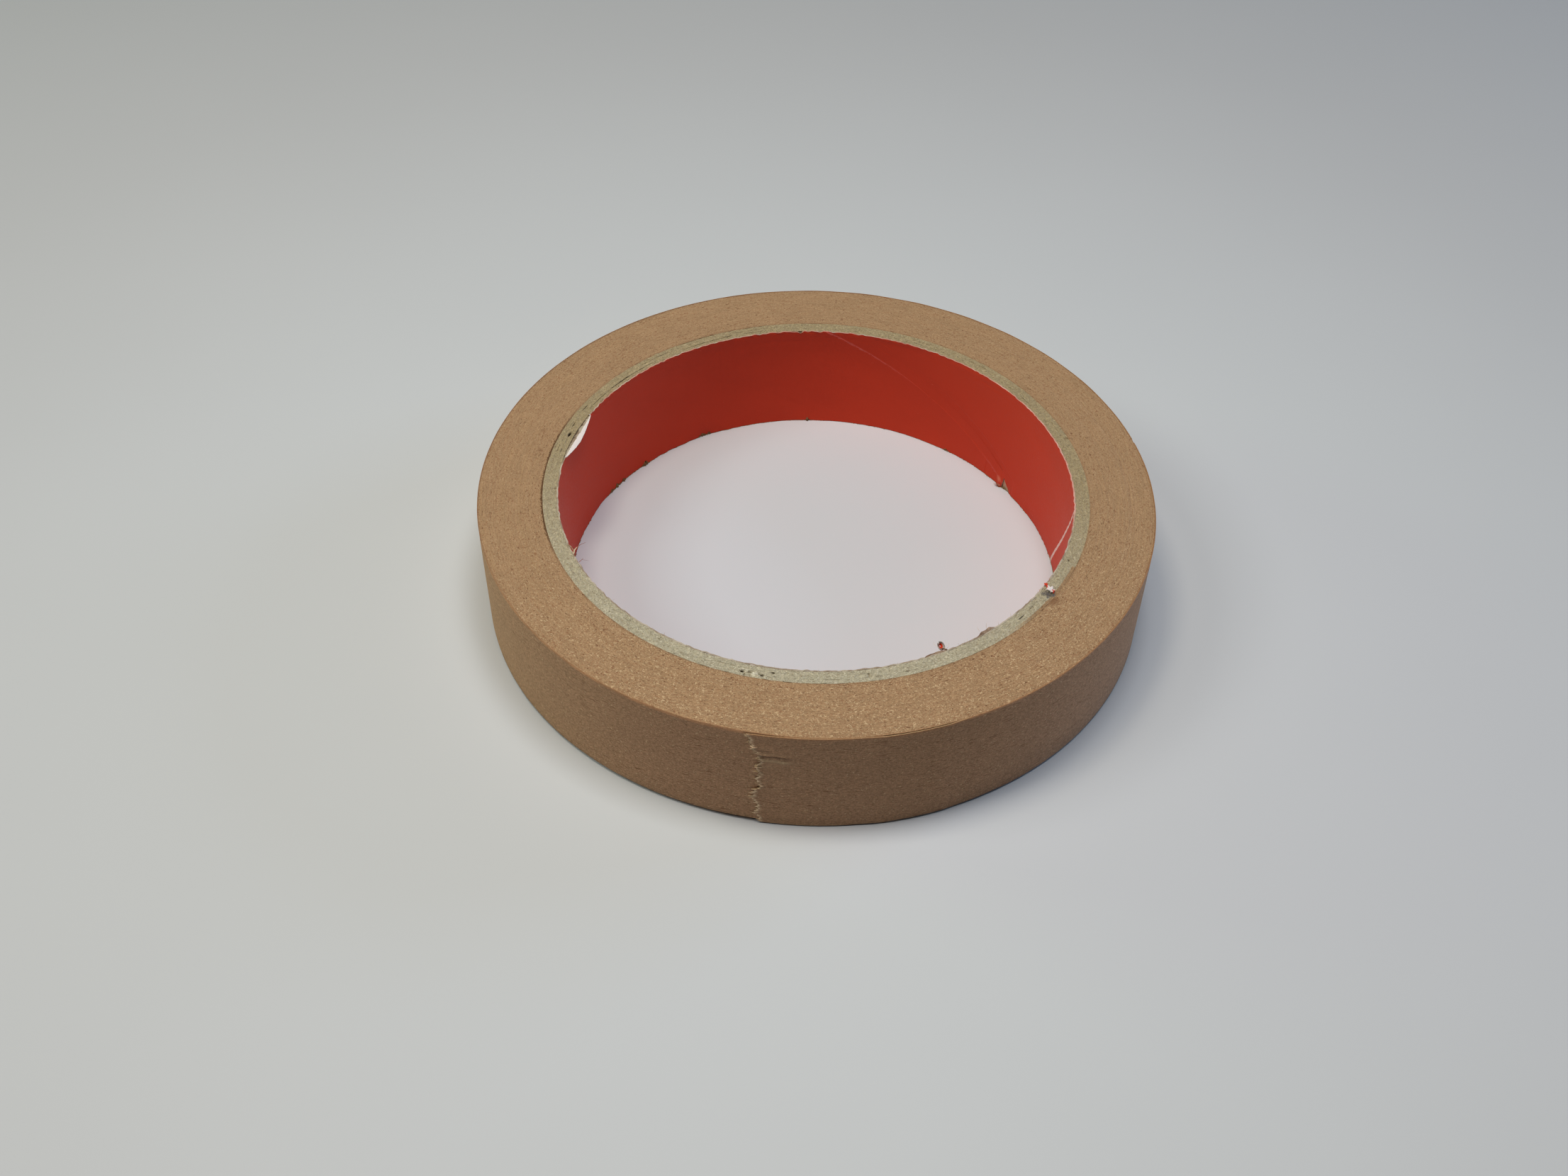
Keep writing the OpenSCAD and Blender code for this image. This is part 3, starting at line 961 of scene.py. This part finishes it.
def creases(from_tear, height):
    """How far the paper stands out by the creases that the pull left, which are sharp above and
    run out slowly below, and how much painted shade each point takes from a crease's dark side, less the
    painted highlight of the lit ridges beside it."""
    out, dark, light = 0, 0, 0
    for at, length, deep, reach, fall in CREASES:
        line = at - fall * from_tear / length + 0.06 * np.sin(from_tear * 2.3 + at * 5)
        half = 0.5 * deep + 0.04
        groove = step(height, line + half, line - half)
        groove = groove * np.exp(-np.clip(line - height, 0, None) / reach)
        swell = np.exp(-np.abs(height - line) / (1.6 * reach))
        fade = step(from_tear, length, length * 0.5)
        out = out + deep * (swell - groove) * fade
        # Painted shade on each crease's dark side
        dark = np.maximum(dark, hill(height, line, half * 1.3) * fade * min(1, 6 * deep))
        # Painted highlight on the lit ridges below and just above each crease
        ridge = hill(height, line - 1.0, 0.35) + 0.35 * hill(height, line + 0.5, 0.2)
        light = np.maximum(light, ridge * fade * min(1, 5 * deep))
    return out, dark - 0.6 * light * (1 - dark)


def tail_grid():
    """Distance from the tear, way along, angle, height and radius of the loose end's inner
    face, and the painted shade of its creases, which is below 0 where their painted highlight goes."""
    near, mid = np.linspace(0, 0.9, 17)[:-1], np.linspace(0.9, 4.5, 22)[:-1]
    along = np.concatenate([near, mid, np.linspace(4.5, TAIL_LEN, 30)])[:, None]
    height = np.linspace(0, TALL, 361)
    reach = torn_line(height)[None, :] * (1 - along / TAIL_LEN) ** 3 + along
    reach[-1] = TAIL_LEN
    from_tear = np.broadcast_to(along, reach.shape)
    angle = TEAR_AT + np.degrees(reach / ROLL_R)
    lifted = 0.14 * step(angle, -84, -79) * step(angle, BEND_AT, BEND_AT - 4)
    curled = np.clip(line_noise(height.size, 5, 37) - 0.1, 0, 2)[None, :]
    curled = curled * 0.18 * np.exp(-from_tear / 0.35) + 0.07 * np.exp(-from_tear / 0.8)
    inner = turn_radius(angle + 360) + 0.012 * step(angle, BEND_AT, BEND_AT - 2)
    out, dark = creases(from_tear, height[None, :])
    return from_tear, reach, angle, height, inner + lifted + curled + out, dark


def torn_fibres(reach, height, outer):
    """Fine fibres that stand out of the torn edge."""
    rng = np.random.default_rng(41)
    parts = []
    for k in range(FIBRES):
        j = rng.integers(2 if k % 4 else height.size * 3 // 4, height.size - 2)
        length = 0.12 + 0.5 * rng.random() ** 2
        start = TEAR_AT + math.degrees((reach[0, j] + 0.08) / ROLL_R)
        r, z, up = outer[0, j] - 0.01, height[j], rng.uniform(-0.5, 0.5) * length
        rise = rng.uniform(-0.02, 0.12)
        sweep = math.degrees(length / ROLL_R)
        middle = (start - sweep * 0.5, r + rise * 0.3, z + up * 0.3)
        path = [(start, r, z), middle, (start - sweep, r + rise, z + up)]
        parts.append((*strand(path, rng.uniform(0.014, 0.030), 4), 0))
    return gather(parts)[:2]


def both_sides(first, second):
    """Two grids of numbers as a map of points, once for each side of a sheet."""
    return np.tile(np.stack([first, second], -1).reshape(-1, 2), (2, 1))


def loose_end(face, edge, torn_mat, glue):
    """Backing and adhesive of the loose end, from the torn edge round to the line where it peels."""
    from_tear, reach, angle, height, inner, dark = tail_grid()
    split = inner + ADHESIVE_T
    relief = grid_noise(reach.shape, (1.2, 2.5), 33) * 0.007 * step(reach, TAIL_LEN, TAIL_LEN - 3)
    paper = (TAPE_T - ADHESIVE_T - 0.02) * step(from_tear, -0.05, 0.4)
    outer = split + 0.02 + paper + relief
    low = low_rim(angle[:, :1]) - 0.12 * step(angle[:, :1], BEND_AT, TEAR_AT)
    top = top_rim(angle[:, :1]) - 0.10 * step(angle, BEND_AT, TEAR_AT)
    level = low + (top - low) * height[None, :] / TALL
    parts = sheet_faces(outer)
    faces = np.concatenate(parts)
    slots = np.zeros(len(faces))
    slots[len(faces) - len(parts[2]) + outer.shape[1] - 1 :] = 1
    body = np.concatenate([place(angle, outer, level), place(angle, split, level)]).reshape(-1, 3)
    strip = both_sides(reach - TAIL_LEN, level)
    hair, hair_faces = torn_fibres(reach, level[0], outer)
    maps = {
        "Strip": np.concatenate([strip, hair[:, 1:] * 3]),
        # Distance from the tear, and the creases' painted shade
        "Tear": np.concatenate([both_sides(from_tear, dark), np.zeros((len(hair), 2))]),
    }
    points, all_faces, slots = gather([(body, faces.tolist(), slots), (hair, hair_faces, 2)])
    backing = build("loose_end_crepe", points, all_faces, [face, edge, torn_mat], slots, maps)
    points = np.concatenate([place(angle, split - 0.002, level), place(angle, inner, level)])
    coat = build("loose_end_adhesive", points, faces, [glue], None, {"Strip": strip})
    for piece, slot, node in ((backing, "tape_crepe", "tape_tail"), (coat, "adhesive", "tail_adhesive")):
        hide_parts(node)
        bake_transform(piece)


# ---- core


def hollows(angle, radius):
    """Depth of the core's marks at these angles and radii."""
    depth = 0
    for at, where, long, wide, deep in CORE_MARKS:
        along = np.radians(gap(angle, at)) * where / long
        depth = depth + deep * np.exp(-((along**2 + ((radius - where) / wide) ** 2) ** 2.5))
    return depth


def ply(name, node, paint, inner, outer, seed):
    """One board ply: a tube with a rough, fibrous cut end."""
    n, across = 1500, 13
    angle = np.arange(n)[:, None] * 360 / n
    share = np.linspace(0, 1, across)
    radius = inner + (outer - inner) * share
    drop = ply_drop(angle, share, outer, seed)
    rough = grid_noise((n, across), (1.2, 1.8), seed) * 0.02
    rough += grid_noise((n, across), (4, 4), seed + 1) * 0.012
    top = TALL - 0.05 + rough - drop - hollows(angle, radius)
    low = 0.05 + np.abs(grid_noise((n, across), (2, 1), seed + 4)) * 0.03 + drop * 0.4
    # Only the inner ply narrows with the bore
    narrowed = taper if inner == LINER_R else np.zeros_like
    heights = TALL * np.array([0.01, 0.1, 0.22, 0.36, 0.52, 0.7, 0.97])
    outside = [place(angle[:, 0], outer, TALL * part) for part in (0.97, 0.5, 0.03)]
    inside = [place(angle[:, 0], inner - narrowed(z), z) for z in heights]
    over = place(angle, radius, top)
    under = place(angle, radius - narrowed(0 * low) * (1 - share), low)[:, ::-1]
    section = np.concatenate([over, np.stack(outside, 1), under, np.stack(inside, 1)], 1)
    settle(tube(name, section, [paint]), "roll", "core_board", node)


def ply_drop(angle, share, outer, seed):
    """How far a ply's cut end sinks along its two edges, at the slits between the plies, and
    where its own seam ends."""
    split = np.clip(grid_noise((len(angle), 1), (12, 0), seed + 3) - 0.3, 0, 2)
    split = split * swelling(angle, 137, 32)
    from_edge = np.minimum(share, 1 - share)
    drop = (0.003 + 0.2 * split) * np.exp(-((from_edge / 0.08) ** 2))
    climb = math.degrees(TALL / 2 / math.tan(math.radians(SEAM_RISE)) / outer)
    seam_end = SEAM_AT + seed // 10 * SEAM_STAGGER + climb
    return drop + 0.2 * swelling(angle, seam_end, 0.2)


def taper(height):
    """How much narrower the bore is at this height than at the top."""
    return BORE_TAPER * np.clip(1 - height / TAPER_TALL, 0, 1) ** 1.25


def frayed(angle):
    """How rough the bore's lower edge is at these angles."""
    return 0.3 + 0.7 * swelling(angle, 135, 25)


def flare(angle):
    """How much more than the bore's taper the liner's lower edge turns inwards at these angles."""
    rough = ring_noise(angle, 54, 3, 30, 0.08) + ring_noise(angle, 55, 31, 160, 0.03)
    out = frayed(angle) * rough - 0.32 * swelling(angle, -15, 35)
    return out + 0.35 * swelling(angle, 34.4, 0.8) - 0.20 * swelling(angle, 31.4, 1.0)


def low_edge(angle):
    """Height of the liner's lower edge, with its nicks."""
    notch = np.interp(gap(angle, NOTCH_AT), (-2.2, 0.3, 0.65), (0, 1, 0)) * NOTCH_TALL
    rough = 1 + ring_noise(angle, 57, 90, 400, 0.25)
    nicks = 0
    for at, tall, wide in KNIFE_NICKS:
        nicks = np.maximum(nicks, tall * swelling(angle, at, wide) * rough)
    return 0.07 + frayed(angle) * np.abs(ring_noise(angle, 52, 40, 260, 0.035)) + notch + nicks


def flap(angle):
    """Width of the part of the liner's upper edge that is folded in, at these angles, and how
    far the straight line of the fold stands in from the wall."""
    close = np.abs(gap(angle, FLAP_AT) / FLAP_HALF) < 1.2
    wide = np.interp(angle % 360, *np.array(FLAP_WIDE).T) * close
    chord = math.cos(math.radians(FLAP_HALF)) / np.cos(np.radians(gap(angle, FLAP_AT + 1) * close))
    return wide, BORE_R * np.clip(1 - chord, 0, None) * close


def liner_columns():
    """Angles of the liner's columns from its seam, closer where it is folded, and how far its
    lap stands in there."""
    fold_from = FLAP_AT - FLAP_HALF - SEAM_AT - LINER_SLOPE * TALL / 2
    fine = fold_from + np.arange(0, 2 * FLAP_HALF, 0.12)
    base = np.arange(0, 359.93, 0.43)
    base = base[(base < fine[0]) | (base > fine[-1])]
    base = np.concatenate([base, fine, np.arange(349.6, 353.8, 0.12), [359.93]])
    base = np.unique(base)[:, None]
    return base, 0.03 * np.exp(-base / 3.5)


def liner_section():
    """Cross-sections of the liner from its seam round: points up its face, then down its back.
    Returns them and how far each row of the back lies behind the folded part."""
    base, lap = liner_columns()
    body = np.linspace(UPRIGHT, TALL - 2, 9)[1:-1]
    rise = np.concatenate([np.linspace(0, UPRIGHT, 12), body, np.linspace(TALL - 2, TALL, 28)])[None, :]
    low = low_edge(base + LINER_SLOPE * (UPRIGHT - TALL / 2) + SEAM_AT)
    reach = np.clip(rise * (1 - low / TALL) + low, UPRIGHT, None)
    angle = base + LINER_SLOPE * (reach - TALL / 2) + SEAM_AT
    over, away = flap(angle[:, -1:])
    folded = step(over, 0.02, 0.12)
    rise = rise + over * step(rise, TALL - 2, TALL)
    below = TALL + over - rise
    lean_in = np.arctan2(away, 1.0) * step(below, over + 1.3, over + 0.9)
    lean_in = lean_in + (math.radians(88) - lean_in) * folded * step(below, over + 0.10, over - 0.06)
    span = np.diff(rise, axis=1, prepend=0)
    middle = (lean_in + np.roll(lean_in, 1, axis=1)) / 2
    middle[:, 0] = 0
    calm = 1 - 0.85 * folded
    top = TALL - 0.02 + calm * ring_noise(base, 51, 40, 260, 0.035)
    top = top - 0.35 * swelling(angle[:, -1:], 94, 0.7)
    z = np.cumsum(np.cos(middle) * span, 1) / TALL * (top - low) + low
    turned = flare(angle) * np.clip(1 - z / 3.0, 0, 1) ** 1.7 + taper(z)
    fret = calm * ring_noise(base, 56, 30, 200, 0.03) * step(below, 0.5, 0.0)
    ripple = grid_noise(angle.shape, (12, 3), 53) * 0.008
    ripple *= np.clip(np.gradient(base, axis=0) / 0.43, 0, 1) ** 2
    face_r = BORE_R - lap - np.cumsum(np.sin(middle) * span, 1) - turned + fret + ripple
    thick = (LINER_R - BORE_R + 0.01) * (1 - 0.6 * folded * step(below, over + 0.4, over))
    thick = thick + lap
    behind = folded * step(below, over + 0.10, over + 0.14)
    back_r = face_r + thick * np.cos(lean_in)
    back_r = back_r + np.clip(LINER_R - 0.01 - back_r, 0, None) * behind
    back = place(angle, back_r, z + thick * np.sin(lean_in) * (1 - behind))
    return np.concatenate([place(angle, face_r, z), back[:, ::-1]], 1), behind


def liner(red, back, edge):
    """Paper strip round the bore, turned in at the lower end, with one part of its upper edge
    folded over so that the white back shows."""
    section, behind = liner_section()
    count = behind.shape[1]
    slots = np.ones(section.shape[:2], int)
    slots[:, : count - 1] = 0
    slots[:, count:-1][np.abs(np.diff(behind, axis=1))[:, ::-1] > 0.05] = 2
    slots[:, [count - 1, -1]] = 2
    piece = tube("core_liner_paper", section, [red, back, edge], slots.ravel())
    settle(piece, "roll", "liner_paper", "core_liner")


def burr(paint):
    """Thin line of board dust and fibre that the knife left under the bore's lower edge."""
    n = 2400
    angle = np.arange(n) * 360 / n
    lip = 0.07 + np.abs(ring_noise(angle, 61, 60, 500, 0.035)) + ring_noise(angle, 62, 3, 12, 0.015)
    tall = 0.10 + 0 * angle
    rough = 1 + 0.6 * ring_noise(angle, 63, 150, 600, 1.0)
    for at, high, wide in KNIFE_NICKS:
        lump = swelling(angle, at, wide * 1.2) * rough
        lip = lip + 0.22 * high * lump
        tall = np.maximum(tall, (high + 0.1) * np.clip(lump, 0, 1.2))
    lip = np.clip(1.25 * lip, 0.03, 0.55)
    rim = BORE_R - BORE_TAPER - flare(angle) + 0.10
    # How far outwards, in mm, or inwards, in lips, and how high each row of points lies
    rows = [(0.35, 0.02), (0.30, 0.8), (0.05, 1.0), (-0.55, 0.75), (-1.0, 0.30), (-0.8, 0.03)]
    rows = [place(angle, rim + (a if a > 0 else a * lip), 0.01 + b * tall) for a, b in rows]
    settle(tube("core_lower_burr", np.stack(rows, 1), [paint]), "roll", "core_board")


# ---- scraps on the core's edge


def curl():
    """Curled tongue of the liner, ragged outside, with the red print deep inside."""
    out, side, up = place(-63.1, 1, 0), place(-63.1 + 90, 1, 0), np.array([0, 0, 1.0])
    turn = np.radians(np.linspace(-235, 100, 26))[:, None]
    share = np.linspace(0, 1, CURL_ROWS)[None, :]
    depth = 0.08 + 0.92 * share + line_noise(26, 1.2, 71)[:, None] * 0.05 * (1 - share)
    axis = 0.6 * out + 0.75 * up
    lift = up * 0.6 - out * 0.8
    wide = (1 - 0.85 * np.abs(depth) ** 1.3)[..., None]
    grid = out * 37.02 + up * (TALL - 0.12) - axis * (depth[..., None] * 0.5 - 0.15)
    grid = grid + wide * (side * (0.42 * np.cos(turn))[..., None] + lift * (0.58 * np.sin(turn))[..., None])
    return sheet(grid, 0.13)


def lean(points):
    """Points that would stand high above the cut end, leant in over the bore instead."""
    lost = 0.9 * np.clip(points[:, 2:] - TALL - SCRAP_TALL, 0, None)
    radius = np.linalg.norm(points[:, :2], axis=1, keepdims=True)
    return np.concatenate([points[:, :2] * (1 - lost / radius), points[:, 2:] - lost], 1)


def sliver(start, end, high, seed):
    """Shred of the liner's back that stands up along the bore's upper edge."""
    share, up = np.linspace(0, 1, 30)[:, None], np.linspace(0, 1, 6)[None, :]
    ragged = 1 + 0.15 * line_noise(share.size, 2.5, seed)[:, None]
    tall = np.sin(np.pi * share) ** 0.6 * high * ragged + 0.03
    radius = BORE_R + 0.14 - 0.8 * up**1.4 * tall
    return sheet(place(start + (end - start) * share, radius, TALL - 0.12 + tall * up), 0.07)


def flake():
    """Crumpled flake of the liner that lies across the core."""
    share, side = np.linspace(0, 1, 24)[:, None], np.linspace(-1, 1, 9)[None, :]
    ragged = np.where(side > 0, line_noise(24, 1.0, 73)[:, None], line_noise(24, 0.8, 78)[:, None])
    wide = np.degrees(0.31 / 39) * side * (1 + 0.45 * ragged) * (1.15 - 0.5 * share)
    angle = -33.3 - 0.95 * share + wide
    up = TALL + 0.03 + 0.16 * np.abs(grid_noise((24, 9), (2, 1.5), 74)) + 0.10 * (1 - side**2)
    return sheet(place(angle, 38.25 + 1.75 * share, up + 0.12 * hill(share, 0.05, 0.12)), 0.06)


def notch_hair(turn, reach):
    """Path of a hair that hangs from the notch in the liner's lower edge."""
    foot = (33.7 + 0.5 * turn, BORE_R - 0.95, 0.45)
    middle = (33.9 + turn, BORE_R - 1.0 - 0.5 * reach, 0.28)
    return [foot, middle, (34.0 + 1.5 * turn, BORE_R - 1.0 - reach, 0.08)]


def short_hair(rng, at, length):
    """Path and thickness of a short hair on the bore's upper edge."""
    aside = math.degrees(rng.uniform(-0.6, 0.6) * length / BORE_R)
    inward = rng.uniform(0.3, 1.0) * length
    tip = (at + aside, BORE_R + 0.05 - inward, TALL + length * rng.uniform(0.3, 0.9))
    middle = (at + aside * 0.3, BORE_R + 0.05 - inward * 0.3, TALL + length * 0.35)
    return [(at, BORE_R + 0.1, TALL - 0.05), middle, tip], rng.uniform(0.012, 0.024)


def fuzz():
    """Hairs round the bore's upper edge, and the longer ones at the scraps."""
    parts = []
    for thick, slot, path in HAIRS:
        path = [(angle, BORE_R - inward, TALL + up) for angle, inward, up in path]
        parts.append((*strand(path, thick), slot))
    for turn, reach in NOTCH_HAIRS:
        parts.append((*strand(notch_hair(turn, reach), 0.07), 1))
    rng = np.random.default_rng(75)
    spots = [(rng.uniform(-180, 180), rng.uniform(0.12, 0.4)) for _ in range(110)]
    for at, length in SHORT_HAIRS + spots:
        parts.append((*strand(*short_hair(rng, at, length)), 0))
    return gather(parts)


def scrap(name, points, faces, paints, slots):
    """One scrap of the liner, which leans in over the bore."""
    piece = build(name, lean(points), faces, paints, slots)
    settle(piece, "roll", "liner_paper")


def scraps(red, white):
    """Shreds of paper and fibre that the cut left on the core's upper edge."""
    pale, tan, grey, rusty, dark = (scrap_paint(kind) for kind in SCRAPS)
    points, parts = curl()
    faces = np.concatenate(parts)
    # Grey, but for the red print deep inside
    slots = np.ones(len(faces))
    slots[: len(parts[0])] = np.arange(len(parts[0])) % (CURL_ROWS - 1) < 3
    scrap("edge_curl", points, faces, [red, grey], slots)
    for name, *numbers in SLIVERS:
        points, (face, rear, rim) = sliver(*numbers)
        # The rear of each sliver is painted dark, as its shade
        slots = [0] * len(face) + [1] * len(rear) + [0] * len(rim)
        scrap(f"edge_sliver_{name}", points, np.concatenate([face, rear, rim]), [tan, dark], slots)
    points, parts = flake()
    faces = np.concatenate(parts)
    middle = np.linalg.norm(points[faces].mean(1)[:, :2], axis=1)
    # White in the middle and red at both ends
    slots = np.where((middle < 38.75) | (middle > 39.82), 0, 1)
    scrap("edge_flake", points, faces, [red, white], slots)
    points, faces, slots = fuzz()
    scrap("edge_fuzz", points, faces, [pale, rusty, dark], slots)


# ---- stage


def floor_paint():
    """Pale floor, painted brighter inside the bore and darker further out, that runs out into the plain
    backdrop for what looks at it from far away.
    """
    p = Paint("floor_pale", FLOOR_INSIDE_LIT, 0.3)
    broad = p.node("TexNoise", {"Vector": p.spot, "Scale": 0.02, "Detail": 2.0})
    away = p.node("VectorMath", {0: p.spot}, 1, operation="LENGTH")
    # Painted light: brighter inside the bore, darker further out
    p.cover(p.ramp(away, 25, 70), FLOOR_NEAR)
    p.cover(p.ramp(away, 60, 200), FLOOR_FAR_SHADED)
    p.tint(broad, 0.985, 1.015)
    p.feed(p.shader.inputs["Base Color"], p.colour)
    p.shader.inputs["Roughness"].default_value = 0.55
    far = p.times(p.ramp(away, BACKDROP_FROM, BACKDROP_FULL), p.node("LightPath", {}))
    plain = p.node("Emission", {"Color": BACKDROP, "Strength": 1.0})
    shown = p.node("MixShader", {0: far, 1: p.shader.outputs[0], 2: plain})
    p.feed(p.tree.nodes["Material Output"].inputs[0], shown)
    return p.material


def stage():
    """Floor that the roll lies on."""
    mesh = bpy.data.meshes.new("floor")
    corners = [(FLOOR_HALF * x, FLOOR_HALF * y, 0) for x, y in ((-1, -1), (1, -1), (1, 1), (-1, 1))]
    mesh.from_pydata(corners, [], [(0, 1, 2, 3)])
    mesh.materials.append(floor_paint())
    floor = add("floor", mesh)


def lamp(name, azimuth, elevation, distance, size, power, colour):
    """Square soft lamp that faces the roll from azimuth degrees round and elevation up."""
    light = bpy.data.lights.new(name, "AREA")
    light.size, light.energy, light.color = size, power, colour
    lit = add(name, light)
    a, e = math.radians(azimuth), math.radians(elevation)
    toward = Vector((math.cos(a) * math.cos(e), math.sin(a) * math.cos(e), math.sin(e)))
    lit.location = toward * distance
    lit.rotation_euler = toward.to_track_quat("Z", "Y").to_euler()


def backdrop():
    """World that lights the roll dimly, and that the camera sees as a plain pale backdrop."""
    world = bpy.data.worlds.new("studio")
    world.use_nodes = True
    tree = world.node_tree
    dim, plain = tree.nodes["Background"], tree.nodes.new("ShaderNodeBackground")
    dim.inputs[0].default_value = AIR
    dim.inputs[1].default_value = AMBIENT
    plain.inputs[0].default_value = BACKDROP
    seen, mixed = tree.nodes.new("ShaderNodeLightPath"), tree.nodes.new("ShaderNodeMixShader")
    for socket, source in enumerate((seen, dim, plain)):
        tree.links.new(source.outputs[0], mixed.inputs[socket])
    tree.links.new(mixed.outputs[0], tree.nodes["World Output"].inputs[0])
    bpy.context.scene.world = world


def camera():
    """Camera at the viewing angle: down at 44 degrees, from the side the torn end faces."""
    tilt, roll = math.radians(CAMERA_TILT), math.radians(CAMERA_ROLL)
    right, ahead = Vector((1, 0, 0)), Vector((0, math.cos(tilt), -math.sin(tilt)))
    up = Vector((0, math.sin(tilt), math.cos(tilt)))
    across = math.cos(roll) * right - math.sin(roll) * up
    upward = math.sin(roll) * right + math.cos(roll) * up
    data = bpy.data.cameras.new("camera")
    data.sensor_width, data.lens = 36, CAMERA_LENS
    data.clip_start, data.clip_end = 0.01, 50
    shot = add("camera", data)
    spin = Matrix((across, upward, -ahead)).transposed().to_4x4()
    shot.matrix_world = Matrix.Translation(Vector(CAMERA_AT) * MM) @ spin
    bpy.context.scene.camera = shot


def main():
    """Camera, lamps and floor, then the roll from the winding in to the scraps."""
    camera()
    for numbers in LAMPS:
        lamp(*numbers)
    backdrop()
    stage()
    cut_edge, board = cut_edge_paint(), board_paint()
    tape_turns(cut_edge)
    outer_turn(tape_face_paint(), cut_edge)
    loose_end(tape_face_paint(torn=True), cut_edge, torn_paint(), adhesive_paint())
    inner = LINER_R
    for k, (where, outer) in enumerate(zip(("inner", "middle", "outer"), PLY_R)):
        ply(f"ply_{where}_board", f"core_ply_{where}", board, inner, outer, 10 * (k + 1))
        inner = outer
    red, white = liner_paint(), liner_back_paint()
    liner(red, white, liner_edge_paint())
    burr(board_paint("core_burr_dust", BOARD_DUST))
    scraps(red, white)
    bpy.context.scene.view_settings.view_transform = "Standard"


main()
